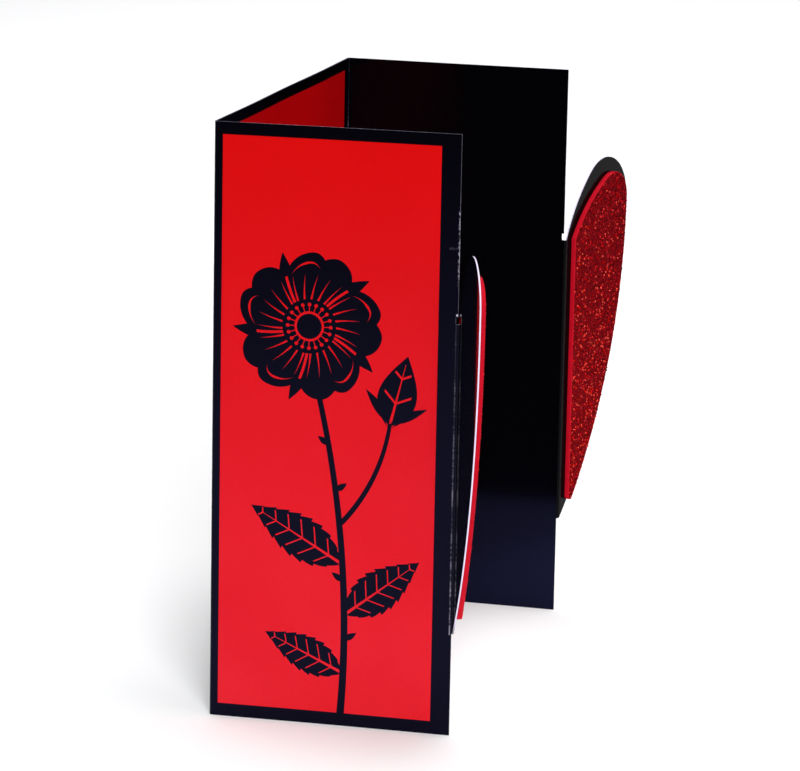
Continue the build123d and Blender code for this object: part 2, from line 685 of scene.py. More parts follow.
@dataclass
class CardSheet:
    """The die-cut sheet, drawn flat and then folded along its four creases."""

    board_thickness: float = 0.5 * MM
    crease_radius: float = 0.5 * MM  # on the inside of each fold
    card_height: float = 210.0 * MM
    flap_width: float = 86.0 * MM
    heart_height: float = 137.0 * MM
    heart_half_width: float = 44.0 * MM
    lobe_radius: float = 16.0 * MM
    cleft_drop: float = 28.5 * MM
    shoulder_radius: float = 66.0 * MM
    tip_half_angle: float = 41.0
    notch_height: float = 2.5 * MM  # of the notch in a flap's free edge, just above the cleft
    notch_depth: float = 0.8 * MM
    bow: float = 0.3 * MM  # how far the panels belly towards the inside
    front: Wing = Wing(Side.FRONT, opening=89.0, tab_turn=69.0)
    back: Wing = Wing(Side.BACK, opening=89.0, tab_turn=72.0)
    panel_steps: int = 16
    bend_steps: int = 8
    tab_steps: int = 40
    edge_steps: int = 12  # rows above and below the tab's crease
    crease_steps: int = 48
    cut_back: float = 1e-4  # share of a tab's reach left off, so that its last column has a height

    @property
    def middle_width(self) -> float:
        """Width of the middle panel between its fold lines, on which the folds of the shut tabs meet."""
        return 2.0 * (self.flap_width + self.crease_radius + self.board_thickness)

    @property
    def fold_radius(self) -> float:
        """Radius of each fold at the middle of the board."""
        return self.crease_radius + self.board_thickness / 2.0

    @property
    def heart(self) -> HalfHeart:
        """Outline of a tab, with its straight edge at the end of the tab's bend."""
        tip = Vector((0.0, (self.card_height - self.heart_height) / 2.0))
        sizes = (self.heart_height, self.heart_half_width, self.lobe_radius, self.cleft_drop)
        return HalfHeart(tip, *sizes, self.shoulder_radius, self.tip_half_angle)

    def tangent(self, wing: Wing) -> float:
        """Distance from a fold line to where its bend starts."""
        return self.fold_radius * math.tan(wing.flap_turn / 2.0)

    def bend_start(self, wing: Wing) -> float:
        """Place on the flat sheet where the flap's bend starts, from the sheet's middle."""
        return self.middle_width / 2.0 - self.tangent(wing)

    def bend_end(self, wing: Wing) -> float:
        """Place on the flat sheet where the flap's bend ends."""
        return self.bend_start(wing) + self.fold_radius * wing.flap_turn

    def flap_line(self, wing: Wing) -> float:
        """Place on the flat sheet from which the flap's width is measured."""
        return self.bend_end(wing) - self.tangent(wing)

    def flap_end(self, wing: Wing) -> float:
        """Place on the flat sheet of the flap's free edge, where the tab's bend starts."""
        return self.flap_line(wing) + self.flap_width

    def tab_root(self, wing: Wing) -> float:
        """Place on the flat sheet where the tab's bend ends."""
        return self.flap_end(wing) + self.fold_radius * math.radians(wing.tab_turn)

    def tab_frame(self, wing: Wing) -> Matrix:
        """Works out where a folded tab stands.

        Args:
            wing: The flap with its tab.

        Returns:
            The tab's frame: X away from its crease, Y out of its glitter face, Z up.
        """
        side = wing.side.value
        corner = Vector((0.0, side * self.middle_width / 2.0))
        flap_end = corner + heading(wing.flap_angle) * self.flap_width
        fold_centre = flap_end + heading(wing.flap_angle + side * 90.0) * self.fold_radius
        root = fold_centre + heading(wing.tab_angle - side * 90.0) * self.fold_radius
        along = heading(wing.tab_angle).to_3d()
        outward = heading(wing.tab_angle - side * 90.0).to_3d()
        columns = Matrix((along, outward, Vector((0.0, 0.0, 1.0)))).transposed()
        return Matrix.Translation(root.to_3d()) @ columns.to_4x4()

    def folds(self) -> list[Fold]:
        """Works out the folds.

        Returns:
            The four folds, with each tab's before its flap's.
        """
        made = []
        for wing in (self.front, self.back):
            side, name = wing.side, wing.side.name.lower()
            tab_turn = math.radians(wing.tab_turn)
            made.append(Fold(name + " tab", side, Towards.OUTSIDE, self.flap_end(wing), tab_turn))
            made.append(Fold(name + " flap", side, Towards.INSIDE, self.bend_start(wing), wing.flap_turn))
        return made

    @property
    def foot_rows(self) -> list[float]:
        """Heights of the rows of points below the tabs' creases."""
        return spread(0.0, self.heart.tip.y, self.edge_steps)[:-1]

    @property
    def crease_rows(self) -> list[float]:
        """Heights of the rows along the tabs' creases."""
        return spread(self.heart.tip.y, self.heart.cleft.y, self.crease_steps)

    @property
    def head_rows(self) -> list[float]:
        """Heights of the rows above the notches."""
        return spread(self.heart.cleft.y + self.notch_height, self.card_height, self.edge_steps)

    @property
    def rows(self) -> list[float]:
        """Heights of all rows of the panels."""
        return self.foot_rows + self.crease_rows + self.head_rows

    def lay_flap(self, grid: FaceGrid, wing: Wing, middle: list[int]) -> list[int]:
        """Lays out half of the middle panel, a bend, and a flap with its notch.

        Args:
            grid: Grid of the flat sheet.
            wing: The flap with its tab.
            middle: Points down the middle of the sheet.

        Returns:
            The points along the tab's crease.
        """
        tip, notch = len(self.foot_rows), len(self.foot_rows + self.crease_rows)
        panel = spread(0.0, self.bend_start(wing), self.panel_steps)[1:]
        bend = spread(self.bend_start(wing), self.bend_end(wing), self.bend_steps)[1:]
        flap = spread(self.bend_end(wing), self.flap_end(wing) - self.notch_depth, self.panel_steps)[1:]
        last = grid.extend(wing.side, middle, panel + bend + flap, self.rows)
        edge = grid.column(wing.side.value * self.flap_end(wing), self.rows)
        grid.join(wing.side, last[:notch], edge[:notch])
        grid.join(wing.side, last[notch:], edge[notch:])
        return edge[tip:notch]

    def lay_tab(self, grid: FaceGrid, wing: Wing, crease: list[int]) -> None:
        """Lays out a tab, from its crease outwards.

        Args:
            grid: Grid of the flat sheet.
            wing: The flap with its tab.
            crease: Points along the tab's crease.
        """
        heart, root = self.heart, self.tab_root(wing)
        bend = spread(self.flap_end(wing), root, self.bend_steps)[1:]
        last = grid.extend(wing.side, crease, bend, self.crease_rows)
        widest = self.heart_half_width * (1.0 - self.cut_back)
        for turn in spread(0.0, math.pi / 2.0, self.tab_steps)[1:]:
            reach = widest * math.sin(turn)
            heights = spread(heart.lower_edge(reach), heart.upper_edge(reach), self.crease_steps)
            last = grid.extend(wing.side, last, [root + reach], heights)

    def flat_blank(self) -> bpy.types.Mesh:
        """The flat sheet as one layer of faces in the YZ plane, with its flat map.

        Returns:
            A mesh whose faces point away from the card's inside.
        """
        grid = FaceGrid()
        tab_faces: list[int] = []
        middle = grid.column(0.0, self.rows)
        for wing in (self.front, self.back):
            crease = self.lay_flap(grid, wing, middle)
            first_tab_face = len(grid.faces)
            self.lay_tab(grid, wing, crease)
            tab_faces.extend(range(first_tab_face, len(grid.faces)))

        mesh = bpy.data.meshes.new("flat_blank")
        mesh.from_pydata([(0.0, across, height) for across, height in grid.places], [], grid.faces)
        flat_map = mesh.uv_layers.new(name=FLAT_MAP)
        for loop in mesh.loops:
            flat_map.data[loop.index].uv = grid.places[loop.vertex_index]
        for _ in Face:
            mesh.materials.append(None)
        for number in tab_faces:
            mesh.polygons[number].material_index = Face.TAB_OUTER.value
        return mesh

    @staticmethod
    def fold_nodes() -> bpy.types.NodeTree:
        """A node group that bends a flat sheet round one upright fold.

        Returns:
            The group. Points short of the fold stay where they are, points within the bend go round it
            at their own distance from the middle of the board, and points past it turn with it.
        """
        rule = NodeModifier("fold_rule")
        tree = rule.tree
        line, turn = rule.number("Line"), rule.number("Turn")
        radius, side, towards = (rule.number(name) for name in ("Radius", "Side", "Towards"))
        out, across, height = tree.split(tree.node("GeometryNodeInputPosition").outputs[0])
        past = across * side - line
        angle = (past / radius).most(0.0).least(turn)
        straight = (past - radius * turn).most(0.0)
        reach = radius - out * towards
        new_past = past.least(0.0) + reach * angle.sine() + straight * angle.cosine()
        new_out = towards * (radius - reach * angle.cosine() + straight * angle.sine())
        parts = {"X": new_out, "Y": (new_past + line) * side, "Z": height}
        place = tree.node("ShaderNodeCombineXYZ", inputs=parts).outputs[0]
        moved = tree.node("GeometryNodeSetPosition", inputs={"Geometry": rule.geometry, "Position": place})
        rule.end(moved.outputs[0])
        return rule.tree.nodes

    def folding(self, finishes: dict[Face, bpy.types.Material]) -> NodeModifier:
        """Geometry nodes that belly the panels, fold the sheet and give its faces their finishes.

        Args:
            finishes: Material for each kind of face.

        Returns:
            The modifier, with a line and a turn for each fold among its inputs.
        """
        rule = NodeModifier("card_folding")
        tree = rule.tree
        radius = rule.number("Fold radius", self.fold_radius)
        bow = rule.number("Bow", self.bow)
        panel = rule.number("Panel width", self.flap_end(self.front) / 2.0)
        place = tree.node("GeometryNodeInputPosition").outputs[0]
        # The belly is nil in the middle of the sheet, near its folds, at its free edges and on its tabs
        share = abs(tree.split(place)[1]) / panel
        belly = bow * (share * math.pi).sine() ** 2.0 * (1.0 - share.over(2.0))
        offset = tree.node("ShaderNodeCombineXYZ", inputs={"X": belly}).outputs[0]
        inputs = {"Geometry": rule.geometry, "Offset": offset}
        shape = tree.node("GeometryNodeSetPosition", inputs=inputs).outputs[0]
        group = self.fold_nodes()
        for fold in self.folds():
            inputs = {
                "Geometry": shape,
                "Line": rule.number(fold.name + " line", fold.line),
                "Turn": rule.number(fold.name + " turn", fold.turn),
                "Radius": radius,
                "Side": float(fold.side.value),
                "Towards": float(fold.towards.value),
            }
            shape = tree.node("GeometryNodeGroup", {"node_tree": group}, inputs).outputs[0]
        shape = tree.node("GeometryNodeRealizeInstances", inputs={"Geometry": shape}).outputs[0]
        slot = tree.node("GeometryNodeInputMaterialIndex").outputs[0]
        for face, material in finishes.items():
            finish = rule.take(face.name.lower() + " finish", "Material", material)
            settings = {"data_type": "INT", "operation": "EQUAL"}
            chosen = tree.node("FunctionNodeCompare", settings, {"A": slot, "B": face.value}).outputs[0]
            inputs = {"Geometry": shape, "Selection": chosen, "Material": finish}
            shape = tree.node("GeometryNodeSetMaterial", inputs=inputs).outputs[0]
        rule.end(shape)
        return rule

    def build(self, finishes: dict[Face, bpy.types.Material]) -> bpy.types.Object:
        """Cuts, thickens and folds the sheet.

        Args:
            finishes: Material for each kind of face.

        Returns:
            The folded card.
        """
        card = new_object("card_sheet", self.flat_blank())
        board = card.modifiers.new("board", "SOLIDIFY")
        board.thickness = self.board_thickness
        board.offset = 0.0
        board.material_offset = Face.INNER.value
        board.material_offset_rim = Face.CUT_EDGE.value
        self.folding(finishes).run_on(card)
        settle(card)
        smooth(card.data)
        return card


@dataclass
class FoamHeart:
    """A half-heart of craft foam on a tab, with a glitter face."""

    wing: Wing
    sheet: CardSheet
    thickness: float = 2.2 * MM
    crease_margin: float = 3.5 * MM
    side_margin: float = 2.5 * MM
    top_margin: float = 6.0 * MM
    tip_margin: float = 3.5 * MM
    corner_radius: float = 1.5 * MM
    shoulder_radius: float = 62.0 * MM
    tip_half_angle: float = 36.0
    rim_round: float = 0.3 * MM  # worn-off edge round the glitter face
    glue_groove: float = 0.2 * MM  # where the foam draws back from the board along its edge
    glitter_depth: float = 0.25 * MM  # share of the thickness that the flakes take
    flake_radius: float = 0.40 * MM
    flake_thickness: float = 0.04 * MM
    flake_spacing: float = 0.50 * MM
    flake_tilt: float = 26.0  # degrees
    flake_corners: int = 6
    smallest_flake: float = 0.65  # share of the flakes' radius
    largest_flake: float = 1.15
    flakes_per_area: float = 3.2e6  # at most, for each square metre
    seed: int = 11
    rim_steps: int = 4
    side_steps: int = 96

    @property
    def name(self) -> str:
        """Which of the two hearts this is, as a word."""
        return self.wing.side.name.lower()

    @property
    def heart(self) -> HalfHeart:
        """Outline of the foam on its tab."""
        card = self.sheet.heart
        tip = card.tip + Vector((self.crease_margin, self.tip_margin))
        height = card.height - self.tip_margin - self.top_margin
        half_width = card.half_width - self.crease_margin - self.side_margin
        lobe = card.lobe_radius - self.top_margin
        drop = card.cleft_drop - self.top_margin
        return HalfHeart(tip, height, half_width, lobe, drop, self.shoulder_radius, self.tip_half_angle)

    @property
    def face_level(self) -> float:
        """Distance from the middle of the board to the face under the glitter."""
        return self.sheet.board_thickness / 2.0 + self.thickness - self.glitter_depth

    def ring(self, outline: list[Vector], inset: float, out: float) -> list[Vector]:
        """The outline at one level of the foam, moved inwards.

        Args:
            outline: Closed outline, anticlockwise.
            inset: Distance that it is moved inwards.
            out: Distance of the level from the middle of the board.

        Returns:
            Points in the frame of the solids.
        """
        frame = self.sheet.tab_frame(self.wing)
        points = []
        for before, here, after in zip(outline[-1:] + outline[:-1], outline, outline[1:] + outline[:1]):
            along = (after - before).normalized()
            moved = here + inset * Vector((-along.y, along.x))
            points.append(frame @ Vector((moved.x, out, moved.y)))
        return points

    def body(self, foam: bpy.types.Material, bed: bpy.types.Material) -> bpy.types.Object:
        """The foam itself, closed all round.

        Args:
            foam: Material of its sides and glued face.
            bed: Material of the face that carries the glitter.

        Returns:
            The foam as an object.
        """
        outline = self.heart.outline(self.corner_radius, self.side_steps)
        glued, top = self.sheet.board_thickness / 2.0, self.face_level
        levels = [(self.glue_groove, glued), (0.0, glued + self.glue_groove), (0.0, top - self.rim_round)]
        for turn in spread(0.0, math.pi / 2.0, self.rim_steps)[1:]:
            drop = self.rim_round * (1.0 - math.sin(turn))
            levels.append((self.rim_round * (1.0 - math.cos(turn)), top - drop))
        points: list[Vector] = []
        for inset, out in levels:
            points.extend(self.ring(outline, inset, out))
        count = len(outline)
        faces = [tuple(range(count))]
        for level in range(len(levels) - 1):
            for here in range(count):
                after = (here + 1) % count
                low, high = level * count, (level + 1) * count
                faces.append((low + here, high + here, high + after, low + after))
        faces.append(tuple(reversed(range((len(levels) - 1) * count, len(levels) * count))))
        if self.wing.side is Side.FRONT:
            faces = [corners[::-1] for corners in faces]
        mesh = bpy.data.meshes.new(self.name + "_foam")
        mesh.from_pydata(points, [], faces)
        mesh.materials.append(foam)
        mesh.materials.append(bed)
        mesh.polygons[len(faces) - 1].material_index = 1
        smooth(mesh)
        return new_object(self.name + "_foam", mesh)

    def scatter(self, material: bpy.types.Material) -> NodeModifier:
        """Geometry nodes that lay flakes over a face, each tilted its own way.

        Args:
            material: Finish of the flakes.

        Returns:
            The modifier.
        """
        rule = NodeModifier(self.name + "_glitter_scatter")
        tree = rule.tree
        seed = rule.take("Seed", "Int", self.seed + self.wing.side.value)
        inputs = {
            "Mesh": rule.geometry,
            "Distance Min": rule.number("Flake spacing", self.flake_spacing),
            "Density Max": rule.number("Flakes per area", self.flakes_per_area),
            "Seed": seed,
        }
        points = tree.node("GeometryNodeDistributePointsOnFaces", {"distribute_method": "POISSON"}, inputs)
        inputs = {
            "Vertices": self.flake_corners,
            "Radius": rule.number("Flake radius", self.flake_radius),
            "Depth": rule.number("Flake thickness", self.flake_thickness),
        }
        flake = tree.node("GeometryNodeMeshCylinder", inputs=inputs)
        tilt = math.radians(self.flake_tilt)
        lean = {"Min": (-tilt, -tilt, 0.0), "Max": (tilt, tilt, 2.0 * math.pi), "Seed": seed}
        turn = tree.node("FunctionNodeRandomValue", {"data_type": "FLOAT_VECTOR"}, lean)
        turned = tree.node("FunctionNodeEulerToRotation", inputs={0: turn.outputs[0]})
        inputs = {"Rotation": points.outputs["Rotation"], "Rotate By": turned.outputs[0]}
        rotation = tree.node("FunctionNodeRotateRotation", {"rotation_space": "LOCAL"}, inputs)
        grown = {"Min": self.smallest_flake, "Max": self.largest_flake, "Seed": seed}
        size = tree.value("FunctionNodeRandomValue", "Value", {"data_type": "FLOAT"}, grown)
        inputs = {
            "Points": points.outputs["Points"],
            "Instance": flake.outputs["Mesh"],
            "Rotation": rotation.outputs[0],
            "Scale": size,
        }
        laid = tree.node("GeometryNodeInstanceOnPoints", inputs=inputs)
        tone = tree.value("FunctionNodeRandomValue", "Value", {"data_type": "FLOAT"}, {"Seed": seed})
        settings = {"data_type": "FLOAT", "domain": "INSTANCE"}
        inputs = {"Geometry": laid.outputs[0], "Name": TONE, "Value": tone}
        toned = tree.node("GeometryNodeStoreNamedAttribute", settings, inputs)
        plain = tree.node("GeometryNodeRealizeInstances", inputs={"Geometry": toned.outputs[0]})
        finish = rule.take("Flake finish", "Material", material)
        inputs = {"Geometry": plain.outputs[0], "Material": finish}
        rule.end(tree.node("GeometryNodeSetMaterial", inputs=inputs).outputs[0])
        return rule

    def glitter(self, material: bpy.types.Material) -> bpy.types.Object:
        """The flakes on the foam's face, as one mesh.

        Args:
            material: Finish of the flakes.

        Returns:
            The flakes as an object.
        """
        outline = self.heart.outline(self.corner_radius, self.side_steps)
        points = self.ring(outline, self.rim_round, self.face_level + self.flake_thickness / 2.0)
        order = tuple(range(len(points)))
        mesh = bpy.data.meshes.new(self.name + "_glitter")
        mesh.from_pydata(points, [], [order if self.wing.side is Side.FRONT else order[::-1]])
        flakes = new_object(self.name + "_glitter", mesh)
        self.scatter(material).run_on(flakes)
        settle(flakes)
        return flakes


@dataclass(frozen=True)
class Pen:
    """Draws shapes on a flap's face. Places and sizes are in millimetres from the flap's fold and foot."""

    tree: Tree
    across: Value
    up: Value
    softness: float = 0.12  # width over which an edge fades

    def cover(self, distance: Value) -> Value:
        """One where a signed distance is negative, and zero where it is positive."""
        return self.tree.math("MULTIPLY_ADD", distance, -1.0 / self.softness, 0.5, clamp=True)

    def between(self, value: Value, low: float, high: float) -> Value:
        """One where a value lies between two numbers."""
        return self.cover(abs(value - (low + high) / 2.0) - (high - low) / 2.0)

    def box(self, low: Point, high: Point) -> Value:
        """A rectangle between two corners."""
        return self.between(self.across, low[0], high[0]) * self.between(self.up, low[1], high[1])

    def from_point(self, point: Point) -> tuple[Value, Value, Value]:
        """Offsets across and up from a point, and the distance to it."""
        right, above = self.across - point[0], self.up - point[1]
        return right, above, (right * right + above * above).root()


@dataclass(frozen=True)
class Stem:
    """A line along an arc, from its lower end to its upper end, that bows to the right and tapers."""

    start: Point
    end: Point
    bow: float
    half_width: float
    end_half_width: float

    @property
    def radius(self) -> float:
        """Radius of the arc."""
        half_chord = (Vector(self.end) - Vector(self.start)).length / 2.0
        return (half_chord**2 + self.bow**2) / (2.0 * self.bow)

    @property
    def centre(self) -> Vector:
        """Centre of the arc."""
        chord = Vector(self.end) - Vector(self.start)
        right = Vector((chord.y, -chord.x)).normalized()
        return (Vector(self.start) + Vector(self.end)) / 2.0 + right * (self.bow - self.radius)

    def at(self, height: float) -> Point:
        """Place on the line at a height."""
        return (self.centre.x + leg(self.radius, height - self.centre.y), height)

    def draw(self, pen: Pen) -> Value:
        """Cover of the line.

        Args:
            pen: Pen of the flap's face.

        Returns:
            The line's cover.
        """
        right, _, reach = pen.from_point((self.centre.x, self.centre.y))
        share = (pen.up - self.start[1]) / (self.end[1] - self.start[1])
        half_width = self.half_width + (self.end_half_width - self.half_width) * share
        line = pen.cover(abs(reach - self.radius) - half_width)
        return line * pen.between(pen.up, self.start[1], self.end[1]) * right.over(0.0)


@dataclass(frozen=True)
class Leaf:
    """A pointed leaf with toothed edges, a midrib and side veins."""

    base: Point
    tip: Point
    half_width: float
    teeth: int = 9
    tooth_depth: float = 0.14  # share of the half width
    veins: int = 7
    fullness: float = 1.35  # how much wider than an even curve the leaf is at its base
    taper: float = 0.7  # how much of that it loses towards its tip
    rib_half_width: float = 0.55
    rib_end: float = 0.88  # share of the length
    vein_slant: float = 0.7
    vein_width: float = 0.10  # share of the step from vein to vein
    vein_end: float = 0.70  # share of the half width

    @classmethod
    def plain(cls, base: Point, tip: Point, half_width: float, veins: int = 0) -> Leaf:
        """A leaf with smooth edges, as for a bud, a sepal or a thorn."""
        return cls(base, tip, half_width, teeth=1, tooth_depth=0.0, veins=veins)

    def draw(self, pen: Pen) -> Value:
        """Cover of the leaf, with its ribs left open.

        Args:
            pen: Pen of the flap's face.

        Returns:
            The leaf's cover.
        """
        axis = Vector(self.tip) - Vector(self.base)
        length = axis.length
        along = axis / length
        right, above = pen.across - self.base[0], pen.up - self.base[1]
        share = ((right * along.x + above * along.y) / length).clamped()
        aside = abs(above * along.x - right * along.y)
        full = self.half_width * (share * (1.0 - share) * 4.0) * (self.fullness - self.taper * share)
        edge = full * (1.0 - self.tooth_depth * (share * self.teeth).fraction()) - pen.softness
        blade = pen.cover(aside - edge)
        if not self.veins:
            return blade
        rib = pen.cover(aside - self.rib_half_width * (1.0 - share))
        rib = rib * pen.cover((share - self.rib_end) * length)
        steps = ((share - aside * (self.vein_slant / length)) * self.veins).fraction()
        vein = pen.cover((steps - self.vein_width) * (length / self.veins))
        vein = vein * pen.cover(aside - self.vein_end * full)
        return blade * (1.0 - rib.most(vein))


@dataclass(frozen=True)
class Blossom:
    """An open five-petalled blossom seen from above, drawn by its polar outline."""

    centre: Point = (34.0, 141.0)
    radius: float = 26.0
    petals: int = 5
    first_petal: float = 0.35  # radians
    swirl: float = 0.011  # radians for each millimetre from the centre
    dip_share: float = 0.25  # of the radius, between two petals
    dip_power: float = 3.0
    notch: float = 2.2  # depth of the notch in the middle of a petal's edge
    notch_share: float = 0.34  # of half a petal
    sepal_reach: float = 7.5  # past the dip
    sepal_taper: float = 34.0
    gap: float = 0.45  # half width of the open line between two petals
    gap_margin: float = 0.8
    throat: float = 9.5  # distance from the centre where gaps and veins start
    stroke_inset: float = 3.6  # from a petal's edge to the stroke along it
    stroke_half_width: float = 0.45
    stroke_place: float = 0.42  # share of half a petal
    stroke_taper: float = 2.6
    veins: int = 5  # on each petal
    vein_half_width: float = 0.34
    vein_length: float = 8.5
    eye: float = 4.4
    ring: float = 0.8
    stamens: int = 20
    stamen_reach: float = 7.6
    stamen_dot: float = 0.62
    thread_half_width: float = 0.16

    def draw(self, pen: Pen) -> Value:
        """Cover of the blossom, with its fine lines left open.

        Args:
            pen: Pen of the flap's face.

        Returns:
            The blossom's cover.
        """
        right, above, reach = pen.from_point(self.centre)
        angle = pen.tree.math("ARCTAN2", above, right)
        half_petal = math.pi / self.petals
        turned = (angle + reach * self.swirl - self.first_petal).wrapped(half_petal)
        share = turned / half_petal
        aside = abs(share)
        middle = (1.0 - aside / self.notch_share).most(0.0)
        dip = self.dip_share * aside**self.dip_power
        outline = self.radius * (1.0 - dip) - self.notch * middle * middle
        petals = pen.cover(reach - outline)
        valley = self.radius * (1.0 - self.dip_share)
        sepals = pen.cover(reach - (valley + self.sepal_reach - (1.0 - aside) * self.sepal_taper))
        to_valley = reach * (1.0 - aside) * half_petal
        gaps = pen.cover(to_valley - self.gap) * pen.between(reach, self.throat, valley - self.gap_margin)
        stroke_width = self.stroke_half_width * (1.0 - abs(share - self.stroke_place) * self.stroke_taper)
        stroke = pen.cover(abs(reach - outline + self.stroke_inset) - stroke_width)
        vein_angle = turned.wrapped(half_petal / self.veins)
        vein_width = self.vein_half_width * (1.0 - (reach - self.throat) / self.vein_length)
        vein = pen.cover(abs(vein_angle) * reach - vein_width)
        veins = vein * pen.between(reach, self.throat, self.throat + self.vein_length)
        rim = pen.between(reach, self.eye, self.eye + self.ring)
        from_stamen = angle.wrapped(math.pi / self.stamens) * reach
        dot_reach = reach - self.stamen_reach
        dots = pen.cover((from_stamen**2.0 + dot_reach**2.0).root() - self.stamen_dot)
        threads = pen.cover(abs(from_stamen) - self.thread_half_width)
        threads = threads * pen.between(reach, self.eye, self.stamen_reach)
        open_lines = gaps.most(stroke).most(veins).most(rim).most(dots).most(threads)
        return petals.most(sepals) * (1.0 - open_lines)


@dataclass(frozen=True)
class FlowerPrint:
    """The front flap's motif: a blossom and a bud on a thorny stem."""

    stem: Stem = Stem((47.0, 4.0), (36.0, 124.0), bow=5.0, half_width=1.35, end_half_width=0.95)
    bud: Point = (63.0, 109.0)
    branch_height: float = 72.0
    blossom: Blossom = Blossom()
    hidden_share: float = 0.7  # of the blossom's radius, within which it lies over stem and leaves
    thorns: tuple[Point, ...] = ((100.0, -4.0), (84.0, 4.2), (52.0, -4.4), (31.0, 4.6))  # height and reach
    thorn_rise: float = 3.0
    thorn_half_width: float = 1.2

    @property
    def stalk(self) -> Stem:
        """Stalk of the bud, which leaves the stem."""
        start = self.stem.at(self.branch_height)
        return Stem(start, self.bud, bow=3.2, half_width=0.95, end_half_width=0.7)

    @property
    def leaves(self) -> list[Leaf]:
        """Leaves, the bud with its sepals, and thorns, each from its place on the stem."""
        at, bud = self.stem.at, self.bud
        made = [
            Leaf(at(58.0), (14.0, 77.0), 8.0),
            Leaf(at(40.0), (74.5, 61.0), 7.6),
            Leaf(at(19.0), (19.5, 32.0), 6.8),
            Leaf.plain((bud[0] - 0.4, bud[1] - 2.0), (69.0, 133.0), 6.8, veins=3),
            Leaf.plain(bud, (54.0, 121.0), 1.7),
            Leaf.plain(bud, (76.5, 115.0), 1.7),
        ]
        for height, reach in self.thorns:
            base = at(height)
            tip = (base[0] + reach, height + self.thorn_rise)
            made.append(Leaf.plain(base, tip, self.thorn_half_width))
        return made

    def draw(self, pen: Pen) -> Value:
        """Cover of the whole motif.

        Args:
            pen: Pen of the front flap's face.

        Returns:
            The motif's cover.
        """
        drawn = self.stem.draw(pen).most(self.stalk.draw(pen))
        for leaf in self.leaves:
            drawn = drawn.most(leaf.draw(pen))
        to_blossom = pen.from_point(self.blossom.centre)[2]
        drawn = drawn * pen.cover(self.blossom.radius * self.hidden_share - to_blossom)
        return drawn.most(self.blossom.draw(pen))


@dataclass(frozen=True)
class RedField:
    """A red rectangle inside a panel's black border. Borders are in millimetres."""

    fold_border: float
    free_border: float
    top_border: float
    foot_border: float

    def draw(self, pen: Pen, width: float, height: float) -> Value:
        """Cover of the field on a panel of that width and height."""
        low = (self.fold_border, self.foot_border)
        return pen.box(low, (width - self.free_border, height - self.top_border))


@dataclass(frozen=True)
class WornPatch:
    """A rectangle beside a flap's free edge where the film is rubbed through in specks.

    Its corners are pairs of distance past the free edge and height, in millimetres.
    """

    low: Point
    high: Point
    share: float  # of bare paper in a full speck
    level: float  # of the specks' pattern, up to which the film holds
    contrast: float
    front_only: bool = True

    def draw(self, pen: Pen, edge: float, specks: Value) -> Value:
        """Cover of the patch.

        Args:
            pen: Pen that draws from the middle of the sheet.
            edge: Distance of the free edges from there.
            specks: Pattern of the specks.

        Returns:
            The bare paper's cover.
        """
        box = pen.box((edge + self.low[0], self.low[1]), (edge + self.high[0], self.high[1]))
        return box * specks.risen(self.level, self.contrast) * self.share


